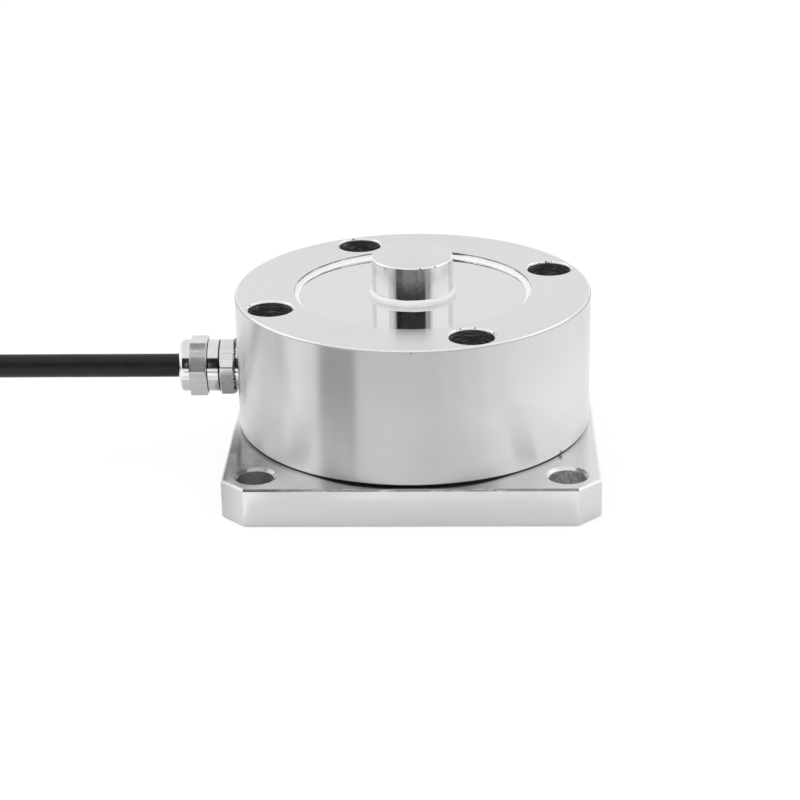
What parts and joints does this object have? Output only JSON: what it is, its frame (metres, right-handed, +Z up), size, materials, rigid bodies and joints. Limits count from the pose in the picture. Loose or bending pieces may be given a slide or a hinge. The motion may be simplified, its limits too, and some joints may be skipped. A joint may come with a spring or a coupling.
{
  "type": "low profile load cell",
  "caption": "Round low profile compression load cell on a square base plate with corner holes, with a crowned load button, sealed cover and a side cable gland.",
  "frame": {"origin": "centre of the base plate's underside", "axes": "+Z up through the load button, the cable gland points along -X, base plate square to X and Y"},
  "size_m": [0.3119, 0.0932, 0.054],
  "materials": {
    "ground_steel": "ground, fine straight lay",
    "satin_steel": "turned and satin polished",
    "polished_steel": "mirror polished",
    "pressed_steel": "rolled sheet",
    "screw_steel": "plain stainless",
    "white_sealant": "smooth silicone",
    "nickel_plate": "bright nickel plate",
    "gland_rubber": "matt",
    "gland_nylon": "natural",
    "cable_jacket": "semi-matt",
    "tie_plastic": "semi-matt",
    "tinned_copper": "twisted tinned strands",
    "gauge_film": "amber film",
    "board_laminate": "coated",
    "chip_ceramic": "matt",
    "core_red": "smooth",
    "core_green": "smooth",
    "core_white": "smooth",
    "core_black": "smooth"
  },
  "bodies": {
    "root": {"base_plate": "ground_steel", "spring_body": "satin_steel", "top_cover": "polished_steel", "load_button": "polished_steel", "bottom_cover": "pressed_steel", "base_screws": "screw_steel", "rim_seal": "white_sealant", "button_seal": "white_sealant", "gland_body": "nickel_plate", "gland_nut": "nickel_plate", "gland_washer": "nickel_plate", "gland_seal": "gland_rubber", "gland_claw": "gland_nylon", "cable": "cable_jacket", "cable_coil": "cable_jacket", "cable_tail": "cable_jacket", "coil_tie": "tie_plastic", "core_screen": "tinned_copper", "strain_gauge_1": "gauge_film", "strain_gauge_2": "gauge_film", "strain_gauge_3": "gauge_film", "strain_gauge_4": "gauge_film", "strain_gauge_5": "gauge_film", "strain_gauge_6": "gauge_film", "strain_gauge_7": "gauge_film", "strain_gauge_8": "gauge_film", "terminal_board": "board_laminate", "trim_resistors": "chip_ceramic", "core_red": "core_red", "inner_lead_red": "core_red", "core_green": "core_green", "inner_lead_green": "core_green", "core_white": "core_white", "inner_lead_white": "core_white", "core_black": "core_black", "inner_lead_black": "core_black"}
  },
  "joints": []
}
